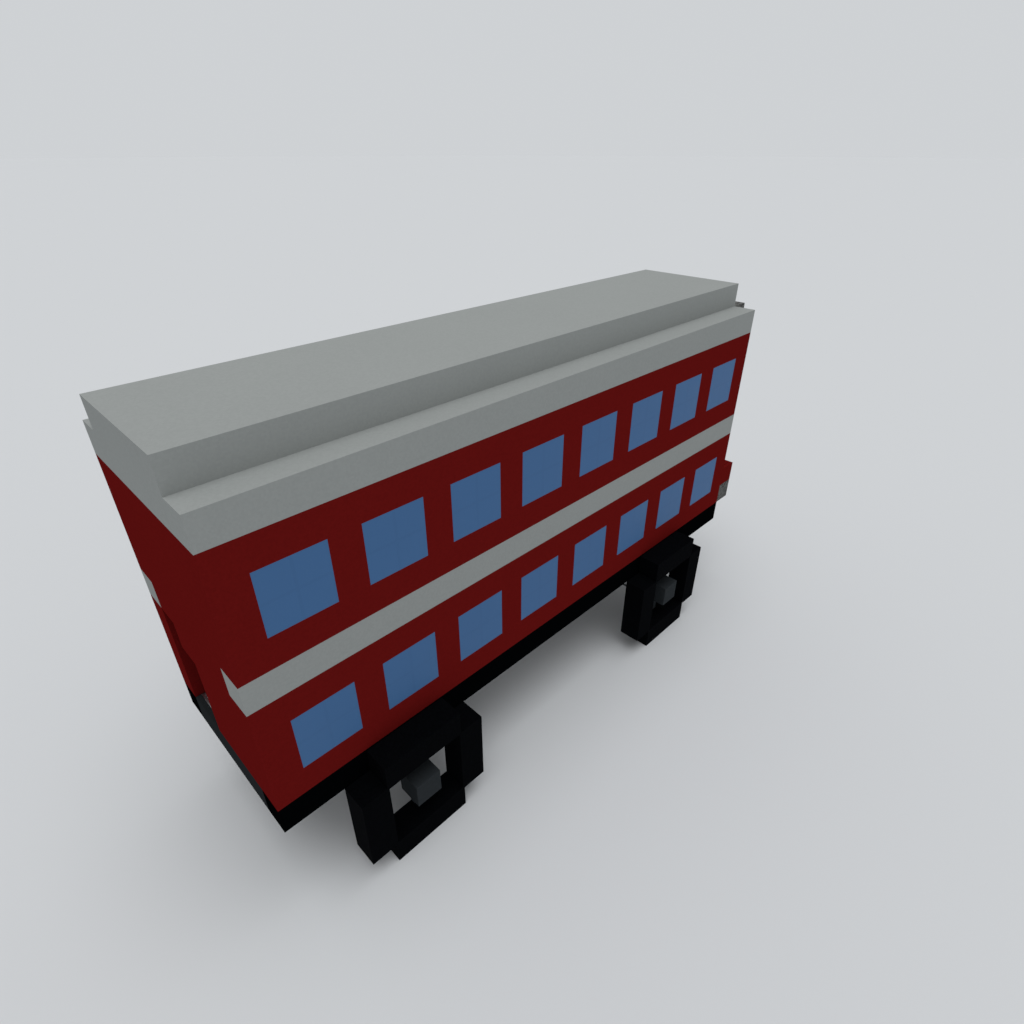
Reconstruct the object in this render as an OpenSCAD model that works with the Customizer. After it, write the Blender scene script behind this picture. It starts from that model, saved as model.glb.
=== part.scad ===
// Double decker bus with square-stepped wheels and an open rear platform.
// Millimetres. X points forwards, Y to the bus's left, Z up from the ground.
// The origin is on the ground, midway between the tail and the nose.

/* [Body] */
// Length from the rear face to the front face of the body
body_l = 7500; // [6000:50:9200]
// Width across the side panels
body_w = 2100; // [1950:10:2550]
// Height of the skirt's lower edge above the ground
skirt_clear = 1190; // [1190:5:1400]
// Height of the black skirt
skirt_h = 310; // [300:5:400]
// Height of the red lower-deck panels
lower_h = 1200; // [1150:10:1500]
// Height of the pale waist band
band_h = 300; // [250:10:400]
// Height of the red upper-deck panels
upper_h = 1200; // [1050:10:1500]
// Height of the roof's wide lower step
roof_low_h = 300; // [150:10:400]
// Height of the roof's narrow upper step
roof_top_h = 300; // [150:10:400]
// Inset of the upper roof step on each side
roof_inset = 300; // [150:10:450]
// Thickness of the body's walls and roof
wall_t = 50; // [30:1:70]
// Thickness of the skirt plates
skirt_t = 40; // [20:1:50]
// Thickness of each deck
deck_t = 50; // [30:1:80]
// How far the band turns round each corner of the body
band_turn = 300; // [100:10:400]

/* [Windows] */
// Number of windows along each deck
win_count = 8; // [3:1:8]
// Width of a side window
win_w = 600; // [300:10:640]
// Height of a side window
win_h = 600; // [400:10:700]
// Width of the pillar between two side windows
pillar_w = 300; // [120:10:320]
// Height of the lower sill above the lower deck
lower_sill = 300; // [200:10:450]
// Height of the upper sill above the waist band
upper_sill = 300; // [200:10:350]
// Thickness of the glazing
glass_t = 12; // [6:1:20]
// Width of each of the two panes in a front window
front_pane_w = 750; // [400:10:760]
// Width of the post between the two front panes
front_post_w = 150; // [80:10:200]
// Height of the windscreen
screen_h = 500; // [300:10:550]
// Height from the windscreen's top to the waist band
screen_drop = 50; // [40:5:100]

/* [Entrance] */
// Width of the rear doorway
door_w = 600; // [500:10:700]
// Height of the rear doorway
door_h = 900; // [800:10:1050]
// Width of the taller part of the rear doorway
door_tall_w = 300; // [200:10:400]
// Extra height of the doorway's taller part
door_tall_h = 300; // [50:10:300]
// Side of the hollow corner column beside the doorway
column_w = 300; // [200:10:320]
// Length of the side entrance in front of the column
side_door_l = 600; // [500:10:640]
// Radius of the platform's grab pole
pole_r = 18; // [12:1:25]

/* [Nose] */
// How far the bonnet and bumper stand forward of the body
nose_l = 300; // [250:10:500]
// Height of the bumper below the bonnet
bumper_h = 300; // [200:10:350]
// Height of the bonnet above the bumper
bonnet_h = 300; // [200:10:350]
// Thickness of the bonnet's and bumper's walls
nose_t = 50; // [30:1:60]
// Thickness of the bonnet lid
lid_t = 30; // [20:1:40]
// Gap between the lid and what lies beside it
lid_gap = 6; // [5:1:12]
// Radius of the lid's hinge pin
hinge_r = 6; // [4:1:8]
// Radius of a headlamp
lamp_r = 95; // [60:1:120]
// Width of the destination box over the front window
dest_w = 1500; // [900:10:1500]

/* [Wheels] */
// Size of a wheel across its flats
wheel_d = 1490; // [1300:10:1490]
// Width of a tyre
wheel_w = 292; // [200:1:320]
// Gap between a tyre and the body's side
wheel_gap = 8; // [6:1:30]
// Thickness of a tyre's square ring
tyre_t = 305; // [290:5:320]
// Side of the square notch at each of a tyre's corners
notch_w = 285; // [200:5:285]
// Side of the square hub
hub_w = 300; // [200:5:320]
// Width of the bar that carries the hub in its tyre
spoke_w = 120; // [100:5:160]
// Thickness of that bar
spoke_t = 60; // [40:5:90]
// Distance from the rear face to the rear axle
rear_overhang = 1350; // [1200:50:1700]
// Distance between the axles
wheelbase = 4500; // [3600:50:5200]
// Radius of the stub axles
stub_r = 40; // [30:1:50]
// Length of stub axle inside a hub
stub_in = 200; // [120:5:240]

/* [Steering] */
// Kingpin's distance inside the body's side
kingpin_in = 90; // [85:5:110]
// Radius of a kingpin
kingpin_r = 20; // [15:1:25]
// Length of a steering arm behind its kingpin
arm_l = 200; // [170:5:240]
// Radius of the track rod
rod_r = 15; // [10:1:20]
// Radius of the pins at the ends of the track rod
rod_pin_r = 10; // [8:1:12]
// Radial clearance of every running fit
run_fit = 0.05; // [0.02:0.01:0.09]
// Radial clearance at the track rod's loose end
loose_fit = 6; // [5:1:10]
// Gap between the guard behind a front wheel and the skirt
guard_gap = 10; // [8:1:20]
// Half length of the arch in the skirt at a front wheel
arch_half = 870; // [870:5:950]
// How far the wheel boxes reach in from the side panels
arch_depth = 500; // [480:5:520]
// Height of the wheel boxes above the lower deck
arch_h = 160; // [150:5:250]
// Plate thickness of the wheel boxes
arch_t = 20; // [10:1:30]

/* [Chassis] */
// Distance between the middles of the two rails
rail_gap = 800; // [700:10:820]
// Width of a rail
rail_w = 80; // [60:5:100]
// Height of a rail
rail_h = 180; // [120:5:200]
// Height of the floor bearers that lie across the rails
bearer_h = 40; // [30:5:60]
// Width of a floor bearer
bearer_w = 80; // [50:5:120]
// Half length of a leaf spring
spring_half = 620; // [500:10:700]
// Thickness of a leaf spring's pack
spring_t = 50; // [30:5:70]
// Width of a leaf spring
spring_w = 70; // [50:5:80]
// Drop of a spring's ends below its rail
spring_drop = 90; // [60:5:120]
// Half height of the front axle beam
beam_half = 50; // [40:1:60]
// Radius of the rear axle's tube
axle_r = 60; // [50:1:80]
// Radius of the rear axle's gear case
diff_r = 190; // [150:5:220]
// Radius of the propeller shaft
shaft_r = 45; // [30:1:60]
// Length of the engine
engine_l = 1000; // [800:10:1000]
// Width of the engine
engine_w = 620; // [500:10:640]
// Height of the engine
engine_h = 600; // [500:10:700]
// Radius of the hole in the tow eye
tow_r = 20; // [15:1:25]

/* [Saloon] */
// Width of a bench seat
bench_w = 720; // [600:10:740]
// Depth of a bench seat
bench_d = 420; // [350:10:460]
// Height of a seat above its floor
seat_h = 420; // [380:10:480]
// Height of a seat's back above the seat
back_h = 460; // [350:10:520]
// Thickness of the moulded seat shells
shell_t = 35; // [20:1:45]
// Number of benches on the lower deck's right side
right_rows = 3; // [1:1:3]
// Number of benches on the lower deck's left side
left_rows = 4; // [1:1:4]
// Number of benches on each side of the upper deck
upper_rows = 5; // [1:1:5]
// Number of steps in the staircase
step_count = 6; // [5:1:7]
// Tread length of a step
tread_l = 250; // [200:5:260]
// Width of the staircase
stair_w = 560; // [450:10:600]
// Radius of the steering wheel
helm_r = 220; // [180:5:240]
// Radius of the steering wheel's rim
helm_rim_r = 14; // [10:1:18]

/* [Hidden] */
$fn = 64;
eps = 1;
red = [0.33, 0.06, 0.06];
pale = [0.58, 0.60, 0.60];
black = [0.02, 0.02, 0.02];
dark = [0.14, 0.15, 0.16];
stone = [0.29, 0.29, 0.29];
blue = [0.23, 0.35, 0.50];
steel = [0.35, 0.36, 0.38];

// places along the bus
x_rear = -(body_l + nose_l) / 2;
x_front = x_rear + body_l;
x_nose = x_front + nose_l;
x_rear_axle = x_rear + rear_overhang;
x_front_axle = x_rear_axle + wheelbase;

// places across the bus
half_w = body_w / 2;
in_w = half_w - wall_t;
skirt_in = half_w - skirt_t;
rail_y = rail_gap / 2;
wheel_y = half_w + wheel_gap;
kingpin_y = half_w - kingpin_in;
arch_y = in_w - arch_depth;

// heights
z_axle = wheel_d / 2;
z_deck = skirt_clear + skirt_h;
z_band = z_deck + lower_h;
z_upper = z_band + band_h;
z_roof = z_upper + upper_h;
z_step = z_roof + roof_low_h;
z_top = z_step + roof_top_h;
z_upper_deck = z_upper - deck_t;
z_ceiling = z_upper_deck - deck_t;
z_bearer = z_deck - deck_t - bearer_h;
z_rail = z_bearer - rail_h;
z_bonnet = z_deck + bumper_h;
z_lid = z_bonnet + bonnet_h;

// side windows: the row is centred along the body
win_pitch = win_w + pillar_w;
win_x0 = x_rear + (body_l - win_count * win_pitch + pillar_w) / 2;
win_xs = [for (i = [0 : win_count - 1]) win_x0 + i * win_pitch];
front_pane_ys = [-front_post_w / 2 - front_pane_w, front_post_w / 2];
z_screen = z_band - screen_drop - screen_h;

// entrance
door_y1 = half_w - column_w;
door_y0 = door_y1 - door_w;
side_door_x0 = x_rear + column_w;
side_door_x1 = side_door_x0 + side_door_l;

// staircase
rise = (z_upper_deck - z_deck) / (step_count + 1);
stair_x1 = side_door_x1 + step_count * tread_l;
stair_y0 = -in_w;
stair_well_x0 = stair_x1 - 4.5 * tread_l;

// leaf springs: an arc through the axle's pad and the two hangers
spring_z0 = z_axle + axle_r;
spring_rise = z_rail - spring_drop - spring_z0;
spring_arc_r = (spring_half * spring_half + spring_rise * spring_rise) / (2 * spring_rise);

// steering linkage
ear_t = 22;
ear_gap = 3;
web_t = 30;
arm_t = 22;
rod_eye_r = 24;

// engine, between the rails at the nose end
engine_x0 = x_front - engine_l - skirt_t - 60;
engine_z0 = z_bearer - 10 - engine_h;

// bonnet lid hinge
hinge_x = x_front + lid_gap + lid_t / 2;
hinge_z = z_lid - lid_t / 2;

// a box from its lowest corner to its highest corner
module span(lo, hi) {
    translate(lo) cube(hi - lo);
}

// a pair of like things on both sides of the bus
module both_sides() {
    children();
    mirror([0, 1, 0]) children();
}

// a round bar along Y
module bar_y(r, y0, y1) {
    translate([0, y0, 0]) rotate([-90, 0, 0]) cylinder(r = r, h = y1 - y0);
}

// cuts for a row of side windows in a side panel at y
module window_cuts(z) {
    for (x = win_xs)
        span([x, -half_w - eps, z], [x + win_w, half_w + eps, z + win_h]);
}

// ---- chassis ----
bearer_xs = [
    x_rear + 60, x_rear + 650, x_rear_axle + 750, x_rear_axle + 1500,
    x_front_axle - arch_half - 130, x_front_axle + arch_half + 60, x_front - skirt_t - bearer_w
];

// two rails, joined at the tail by the tow eye's cross-member
module chassis_rails() {
    color(black) {
        both_sides()
            span([x_rear + skirt_t, rail_y - rail_w / 2, z_rail],
                 [x_front - skirt_t, rail_y + rail_w / 2, z_bearer]);
        both_sides() spring_hangers(x_rear_axle);
        both_sides() spring_hangers(x_front_axle);
        tow_eye();
    }
}

// bars across the rails under the lower deck, shorter between the wheel boxes
module floor_bearers() {
    color(black) {
        for (x = bearer_xs)
            span([x, -skirt_in, z_bearer], [x + bearer_w, skirt_in, z_bearer + bearer_h]);
        for (x = [x_front_axle - 450, x_front_axle + 370])
            span([x, -arch_y + arch_t, z_bearer], [x + bearer_w, arch_y - arch_t, z_bearer + bearer_h]);
    }
}

// the blocks under a rail that hold a leaf spring's two ends
module spring_hangers(x_axle) {
    for (s = [-1, 1])
        span([x_axle + s * (spring_half + 20) - 20, rail_y - spring_w / 2, z_rail - spring_drop - 30],
             [x_axle + s * (spring_half + 20) + 20, rail_y + spring_w / 2, z_rail]);
}

// a lug on a cross-member at the tail, bored for a tow pin
tow_x = x_rear + 120;
tow_t = 40;
module tow_eye() {
    difference() {
        union() {
            span([x_rear + skirt_t + 20, -90, z_rail], [x_rear + 260, 90, z_rail + tow_t]);
            span([x_rear + 200, -rail_y, z_rail], [x_rear + 260, rail_y, z_rail + tow_t]);
        }
        translate([tow_x, 0, z_rail - eps]) cylinder(r = tow_r, h = tow_t + 2 * eps);
    }
}

// the lower deck, with its riser at the tail and gaps for the wheel boxes
module lower_deck() {
    color(dark)
        difference() {
            union() {
                span([x_rear + skirt_t, -skirt_in, z_deck - deck_t], [x_front - skirt_t, skirt_in, z_deck]);
                span([x_rear, -half_w + band_turn, skirt_clear],
                     [x_rear + skirt_t, half_w - band_turn, z_deck]);
            }
            both_sides()
                span([x_front_axle - arch_half - arch_t, arch_y - arch_t, z_deck - deck_t - eps],
                     [x_front_axle + arch_half + arch_t, half_w, z_deck + eps]);
        }
}

// black plates along both sides and the nose, open at the front wheels
module skirts() {
    color(black)
        difference() {
            span([x_rear, -half_w, skirt_clear], [x_front, half_w, z_deck]);
            span([x_rear + skirt_t, -skirt_in, skirt_clear - eps],
                 [x_front - skirt_t, skirt_in, z_deck + eps]);
            span([x_rear - eps, -half_w + band_turn, skirt_clear - eps],
                 [x_rear + skirt_t + eps, half_w - band_turn, z_deck + eps]);
            span([x_front_axle - arch_half, -half_w - eps, skirt_clear - eps],
                 [x_front_axle + arch_half, half_w + eps, z_deck + eps]);
        }
}

// boxes in the deck over the front wheels, open below and outwards
module wheel_boxes() {
    color(black)
        both_sides()
            difference() {
                span([x_front_axle - arch_half - arch_t, arch_y - arch_t, z_deck - deck_t],
                     [x_front_axle + arch_half + arch_t, in_w, z_deck + arch_h]);
                span([x_front_axle - arch_half, arch_y, z_deck - deck_t - eps],
                     [x_front_axle + arch_half, half_w, z_deck + arch_h - arch_t]);
            }
}

// ---- body panels ----
module side_panel(z0, z1, z_win) {
    difference() {
        span([x_rear + wall_t, -half_w, z0], [x_front - wall_t, -in_w, z1]);
        window_cuts(z_win);
    }
}

module lower_side_right() {
    color(red) side_panel(z_deck, z_band, z_deck + lower_sill);
}

module lower_side_left() {
    color(red)
        difference() {
            mirror([0, 1, 0]) side_panel(z_deck, z_band, z_deck + lower_sill);
            span([side_door_x0, 0, z_deck - eps],
                 [side_door_x1, half_w + eps, z_deck + lower_sill + win_h]);
        }
}

module upper_side_right() {
    color(red) side_panel(z_upper, z_roof, z_upper + upper_sill);
}

module upper_side_left() {
    color(red) mirror([0, 1, 0]) side_panel(z_upper, z_roof, z_upper + upper_sill);
}

module waist_band() {
    color(pale)
        both_sides()
            difference() {
                span([x_rear, half_w - band_turn, z_band], [x_front, half_w, z_upper]);
                span([x_rear + wall_t, half_w - band_turn - eps, z_band - eps],
                     [x_front - wall_t, in_w, z_upper + eps]);
            }
}

// the lower end wall at x0: full width below the band, and between the band's turned ends
module end_wall_lower(x0) {
    span([x0, -half_w, z_deck], [x0 + wall_t, half_w, z_band]);
    span([x0, -half_w + band_turn, z_band - eps], [x0 + wall_t, half_w - band_turn, z_upper]);
}

module rear_wall_lower() {
    color(red) {
        difference() {
            end_wall_lower(x_rear);
            span([x_rear - eps, door_y0, z_deck - eps], [x_rear + wall_t + eps, door_y1, z_deck + door_h]);
            span([x_rear - eps, door_y1 - door_tall_w, z_deck],
                 [x_rear + wall_t + eps, door_y1, z_deck + door_h + door_tall_h]);
        }
        // the corner column's inner and forward faces
        span([x_rear + wall_t, door_y1, z_deck], [side_door_x0, door_y1 + wall_t, z_ceiling]);
        span([side_door_x0 - wall_t, door_y1 + wall_t - eps, z_deck], [side_door_x0, in_w, z_ceiling]);
    }
}

module rear_wall_upper() {
    color(red) span([x_rear, -half_w, z_upper], [x_rear + wall_t, half_w, z_roof]);
}

module front_wall_lower() {
    color(red)
        difference() {
            end_wall_lower(x_front - wall_t);
            for (y = front_pane_ys)
                span([x_front - wall_t - eps, y, z_screen], [x_front + eps, y + front_pane_w, z_screen + screen_h]);
        }
}

module front_wall_upper() {
    color(red)
        difference() {
            span([x_front - wall_t, -half_w, z_upper], [x_front, half_w, z_roof]);
            for (y = front_pane_ys)
                span([x_front - wall_t - eps, y, z_upper + upper_sill],
                     [x_front + eps, y + front_pane_w, z_upper + upper_sill + win_h]);
        }
}

module upper_deck() {
    color(dark)
        difference() {
            span([x_rear + wall_t, -in_w, z_ceiling], [x_front - wall_t, in_w, z_upper_deck]);
            span([stair_well_x0, stair_y0 - eps, z_ceiling - eps], [stair_x1, stair_y0 + stair_w, z_upper_deck + eps]);
        }
}

// a roof step: a tray turned over, with a slot in its top where another step opens into it
module roof_step(half, z0, z1, slot) {
    difference() {
        span([x_rear, -half, z0], [x_front, half, z1]);
        span([x_rear + wall_t, -half + wall_t, z0 - eps], [x_front - wall_t, half - wall_t, z1 - wall_t]);
        if (slot > 0)
            span([x_rear + wall_t, -slot, z0], [x_front - wall_t, slot, z1 + eps]);
    }
}

module roof_lower_step() {
    color(pale) roof_step(half_w, z_roof, z_step, half_w - roof_inset - wall_t);
}

module roof_upper_step() {
    color(pale) roof_step(half_w - roof_inset, z_step, z_top, 0);
}

// ---- nose ----
// an open-backed box standing on the front face
module nose_shell(z0, z1, bottom) {
    difference() {
        span([x_front, -half_w, z0], [x_nose, half_w, z1]);
        span([x_front - eps, -half_w + nose_t, z0 + bottom], [x_nose - nose_t, half_w - nose_t, z1 + eps]);
    }
}

module bumper() {
    color(stone)
        difference() {
            nose_shell(z_deck, z_bonnet, nose_t);
            both_sides() lamp(lamp_d + eps);
        }
}

module bonnet() {
    color(red) {
        difference() {
            nose_shell(z_bonnet, z_lid, -eps);
            span([x_front - eps, -half_w + nose_t, z_lid - lid_t - lid_gap],
                 [x_nose + eps, half_w - nose_t, z_lid + eps]);
        }
        translate([hinge_x, 0, hinge_z]) bar_y(hinge_r, -half_w + nose_t - eps, half_w - nose_t + eps);
    }
}

// a plate with a round rear edge about the hinge pin
module bonnet_lid() {
    half = half_w - nose_t - lid_gap;
    color(red)
        difference() {
            union() {
                span([hinge_x, -half, z_lid - lid_t], [x_nose, half, z_lid]);
                translate([hinge_x, 0, hinge_z]) bar_y(lid_t / 2, -half, half);
            }
            translate([hinge_x, 0, hinge_z]) bar_y(hinge_r + run_fit, -half - eps, half + eps);
        }
}

module destination_box() {
    color(stone) span([x_front, -dest_w / 2, z_roof], [x_nose, dest_w / 2, z_step]);
}

// round lamps let into the bumper's face
lamp_d = 60;
module lamp(depth) {
    translate([x_nose - lamp_d, half_w - 2 * lamp_r - nose_t, z_deck + bumper_h / 2])
        rotate([0, 90, 0]) cylinder(r = lamp_r, h = depth);
}

module headlamps() {
    color([0.9, 0.9, 0.85]) both_sides() lamp(lamp_d);
}

// ---- glazing ----
module panes(z, from) {
    for (i = [from : win_count - 1])
        span([win_xs[i], half_w - glass_t, z], [win_xs[i] + win_w, half_w, z + win_h]);
}

module lower_windows() {
    color(blue) {
        mirror([0, 1, 0]) panes(z_deck + lower_sill, 0);
        panes(z_deck + lower_sill, 1);
    }
}

module upper_windows() {
    color(blue) both_sides() panes(z_upper + upper_sill, 0);
}

module front_windows() {
    color(blue)
        for (y = front_pane_ys) {
            span([x_front - glass_t, y, z_screen], [x_front, y + front_pane_w, z_screen + screen_h]);
            span([x_front - glass_t, y, z_upper + upper_sill],
                 [x_front, y + front_pane_w, z_upper + upper_sill + win_h]);
        }
}

// ---- saloon ----
stringer_t = 30;
module staircase() {
    color(dark) {
        for (i = [1 : step_count])
            span([side_door_x1 + (i - 1) * tread_l, stair_y0, z_deck + i * rise - 30],
                 [side_door_x1 + i * tread_l, stair_y0 + stair_w, z_deck + i * rise]);
        for (i = [1 : step_count])
            span([side_door_x1 + (i - 1) * tread_l, stair_y0, z_deck + (i - 1) * rise - (i > 1 ? 30 : 0)],
                 [side_door_x1 + (i - 1) * tread_l + 20, stair_y0 + stair_w, z_deck + i * rise]);
        // the closed side towards the saloon
        for (i = [1 : step_count])
            span([side_door_x1 + (i - 1) * tread_l, stair_y0 + stair_w - stringer_t, z_deck],
                 [side_door_x1 + i * tread_l, stair_y0 + stair_w, z_deck + i * rise]);
    }
}

// a moulded seat shell facing forwards, one bent plate: the pan's top is at height,
// and the back leans away from it
module seat_shell(width, height, back, thick) {
    lean = back * tan(8);
    translate([0, width, 0]) rotate([90, 0, 0]) linear_extrude(width)
        polygon([
            [0, height - thick], [bench_d, height - thick], [bench_d, height],
            [thick, height], [thick - lean, height + back], [-lean, height + back]
        ]);
}

// a bench for two on a pair of legs
module bench(width, height) {
    seat_shell(width, height, back_h, shell_t);
    for (y = [60, width - 100])
        span([bench_d / 2 - 20, y, 0], [bench_d / 2 + 20, y + 40, height - shell_t + eps]);
}

// a row of benches a window apart, or closer where the limit for the last one's front is nearer
module bench_row(y, z, first, limit, rows) {
    step = min(win_pitch, (limit - bench_d - first) / max(rows - 1, 1));
    for (i = [0 : rows - 1])
        translate([first + i * step, y, z]) bench(bench_w, seat_h);
}

row_gap = 120;
entry_gap = 250;
lower_limit = x_front_axle - arch_half - arch_t - row_gap;
upper_limit = x_front - wall_t - 3 * row_gap;
stair_row_x0 = stair_x1 + row_gap;

module lower_seats() {
    color(blue) {
        bench_row(in_w - bench_w, z_deck, side_door_x1 + entry_gap, lower_limit, left_rows);
        bench_row(-in_w, z_deck, stair_row_x0, lower_limit, right_rows);
    }
}

module upper_seats() {
    color(blue)
        for (y = [-in_w, in_w - bench_w])
            bench_row(y, z_upper_deck, stair_row_x0, upper_limit, upper_rows);
}

// the driver sits on the right wheel box
driver_y = -in_w + 90;
driver_w = 460;
driver_x = x_front_axle + 250;
driver_pan_h = 340;
driver_pad_t = 60;
module driver_seat() {
    z0 = z_deck + arch_h;
    color(dark) {
        translate([driver_x, driver_y, z0]) {
            seat_shell(driver_w, driver_pan_h, back_h, driver_pad_t);
            span([120, driver_w / 2 - 80, 0], [300, driver_w / 2 + 80, driver_pan_h - driver_pad_t + eps]);
        }
    }
}

// the desk under the windscreen with the steering column
desk_d = 260;
desk_h = 520;
helm_tilt = 35;
helm_x = x_front - wall_t - desk_d - 230;
helm_y = driver_y + driver_w / 2;
helm_z = z_deck + desk_h + 160;
column_l = 320;
module dashboard() {
    color(black) {
        span([x_front - wall_t - desk_d, -in_w, z_deck], [x_front - wall_t, -150, z_deck + desk_h]);
        translate([helm_x, helm_y, helm_z]) rotate([0, 90 + helm_tilt, 0])
            translate([0, 0, 20]) cylinder(r = 25, h = column_l + 40);
    }
}

module steering_wheel() {
    color(black)
        translate([helm_x, helm_y, helm_z]) rotate([0, 90 + helm_tilt, 0]) {
            rotate_extrude() translate([helm_r, 0]) circle(r = helm_rim_r, $fn = 32);
            translate([0, 0, -20]) cylinder(r = 45, h = 40);
            for (a = [0, 120, 240]) rotate([0, 0, a])
                span([20, -12, -6], [helm_r, 12, 6]);
        }
}

module platform_pole() {
    color([0.8, 0.8, 0.8])
        translate([side_door_x0 + side_door_l / 2, door_y1 - 60, z_deck])
            cylinder(r = pole_r, h = z_ceiling - z_deck);
}

// ---- drive line and axles ----
// a plain block on two bearers that reach the rails
module engine() {
    color(steel) {
        span([engine_x0, -engine_w / 2, engine_z0], [engine_x0 + engine_l, engine_w / 2, engine_z0 + engine_h]);
        for (x = [engine_x0 + 150, engine_x0 + engine_l - 250])
            both_sides()
                span([x, engine_w / 2 - eps, z_rail + 40], [x + 100, rail_y - rail_w / 2, z_rail + 80]);
    }
}

// a sloping shaft, cut square where it meets the axle's nose and the engine
nose_piece_l = 60;
shaft_x0 = x_rear_axle + diff_r + nose_piece_l;
shaft_dx = engine_x0 - shaft_x0;
shaft_dz = engine_z0 + engine_h / 2 - z_axle;
module propeller_shaft() {
    tilt = atan2(shaft_dz, shaft_dx);
    color(steel)
        translate([shaft_x0, 0, z_axle])
            intersection() {
                rotate([0, 90 - tilt, 0])
                    translate([0, 0, -shaft_r]) cylinder(r = shaft_r, h = shaft_dx / cos(tilt) + 2 * shaft_r);
                span([0, -2 * shaft_r, -2 * shaft_r], [shaft_dx, 2 * shaft_r, shaft_dz + 2 * shaft_r]);
            }
}

// a straight beam with an upright bored eye at each end
eye_r = 50;
module front_axle() {
    color(black)
        translate([x_front_axle, 0, z_axle])
            difference() {
                union() {
                    span([-beam_half, -kingpin_y, -beam_half], [beam_half, kingpin_y, beam_half]);
                    both_sides() translate([0, kingpin_y, -beam_half]) cylinder(r = eye_r, h = 2 * beam_half);
                    both_sides() spring_pad(beam_half);
                }
                both_sides() translate([0, kingpin_y, -beam_half - eps])
                    cylinder(r = kingpin_r + run_fit, h = 2 * (beam_half + eps));
            }
}

// the seat for a leaf spring on top of an axle
module spring_pad(from) {
    span([-60, rail_y - spring_w / 2, from - 10], [60, rail_y + spring_w / 2, axle_r + 2]);
}

module rear_axle() {
    color(black)
        translate([x_rear_axle, 0, z_axle]) {
            bar_y(axle_r, -skirt_in, skirt_in);
            bar_y(stub_r, -wheel_y - stub_in, wheel_y + stub_in);
            sphere(r = diff_r);
            rotate([0, 90, 0]) cylinder(r = shaft_r + 15, h = diff_r + nose_piece_l);
            both_sides() spring_pad(0);
        }
}

module leaf_springs() {
    color(black)
        for (x = [x_rear_axle, x_front_axle])
            both_sides()
                translate([x, rail_y, spring_z0 + spring_arc_r])
                    intersection() {
                        difference() {
                            bar_y(spring_arc_r - 2, -spring_w / 2, spring_w / 2);
                            bar_y(spring_arc_r - spring_t, -spring_w / 2 - eps, spring_w / 2 + eps);
                        }
                        span([-spring_half, -spring_w, -spring_arc_r - eps],
                             [spring_half, spring_w, -spring_arc_r + spring_rise + spring_t]);
                    }
}

// the left steering knuckle: two ears round the beam's eye, the kingpin, the stub and the arm
knuckle_half = beam_half + ear_gap + ear_t;
web_y0 = kingpin_y + eye_r + 5;
module knuckle() {
    translate([x_front_axle, 0, z_axle]) {
        for (z = [beam_half + ear_gap, -knuckle_half])
            span([-45, kingpin_y - 45, z], [45, web_y0 + eps, z + ear_t]);
        span([-45, web_y0, -knuckle_half], [45, web_y0 + web_t, knuckle_half]);
        translate([0, kingpin_y, -knuckle_half]) cylinder(r = kingpin_r, h = 2 * knuckle_half);
        bar_y(stub_r, web_y0 + 1, wheel_y + stub_in);
        // the strap that carries the guard
        span([-40, web_y0, knuckle_half - eps], [40, web_y0 + web_t, skirt_clear - z_axle]);
        // the steering arm, with the pin that hangs from it
        span([-arm_l, kingpin_y - 20, -knuckle_half], [-20, kingpin_y + 20, -knuckle_half + arm_t]);
        translate([-arm_l, kingpin_y, -knuckle_half]) cylinder(r = rod_eye_r, h = arm_t);
        translate([-arm_l, kingpin_y, -knuckle_half - 50]) cylinder(r = rod_pin_r, h = 51);
    }
}

module knuckle_left() {
    color(steel) knuckle();
}

module knuckle_right() {
    color(steel) mirror([0, 1, 0]) knuckle();
}

// a plate on the knuckle that fills the skirt's arch when the wheel points straight ahead
module guard() {
    translate([x_front_axle, 0, 0])
        span([-arch_half + guard_gap, skirt_in, skirt_clear],
             [arch_half - guard_gap, half_w, z_deck - guard_gap]);
}

module guard_left() {
    color(black) guard();
}

module guard_right() {
    color(black) mirror([0, 1, 0]) guard();
}

// the track rod under the two arms: a close eye on the left, a loose one on the right
rod_z = -knuckle_half - 25;
module track_rod() {
    color(steel)
        translate([x_front_axle - arm_l, 0, z_axle + rod_z])
            difference() {
                union() {
                    bar_y(rod_r, -kingpin_y, kingpin_y);
                    both_sides() translate([0, kingpin_y, -rod_r]) cylinder(r = rod_eye_r, h = 2 * rod_r);
                }
                translate([0, kingpin_y, -rod_r - eps]) cylinder(r = rod_pin_r + run_fit, h = 2 * (rod_r + eps));
                translate([0, -kingpin_y, -rod_r - eps]) cylinder(r = rod_pin_r + loose_fit, h = 2 * (rod_r + eps));
            }
}

// ---- wheels ----
// the outline of a tyre: a square with a square notch at each corner and a square hole
module tyre_outline() {
    difference() {
        square(wheel_d, center = true);
        for (sx = [-1, 1], sz = [-1, 1])
            translate([sx * wheel_d / 2, sz * wheel_d / 2]) square(2 * notch_w, center = true);
        square(wheel_d - 2 * tyre_t, center = true);
    }
}

module place_left(x_axle) {
    translate([x_axle, wheel_y, z_axle]) children();
}

module tyre() {
    color(black)
        rotate([90, 0, 0]) translate([0, 0, -wheel_w]) linear_extrude(wheel_w) tyre_outline();
}

// a square hub and the upright bar that carries it, bored for the stub axle
module hub() {
    hole_half = wheel_d / 2 - tyre_t;
    color(dark)
        difference() {
            union() {
                span([-hub_w / 2, 0, -hub_w / 2], [hub_w / 2, wheel_w, hub_w / 2]);
                span([-spoke_w / 2, 0, -hole_half], [spoke_w / 2, spoke_t, hole_half]);
            }
            bar_y(stub_r + run_fit, -eps, stub_in + 5);
        }
}

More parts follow.
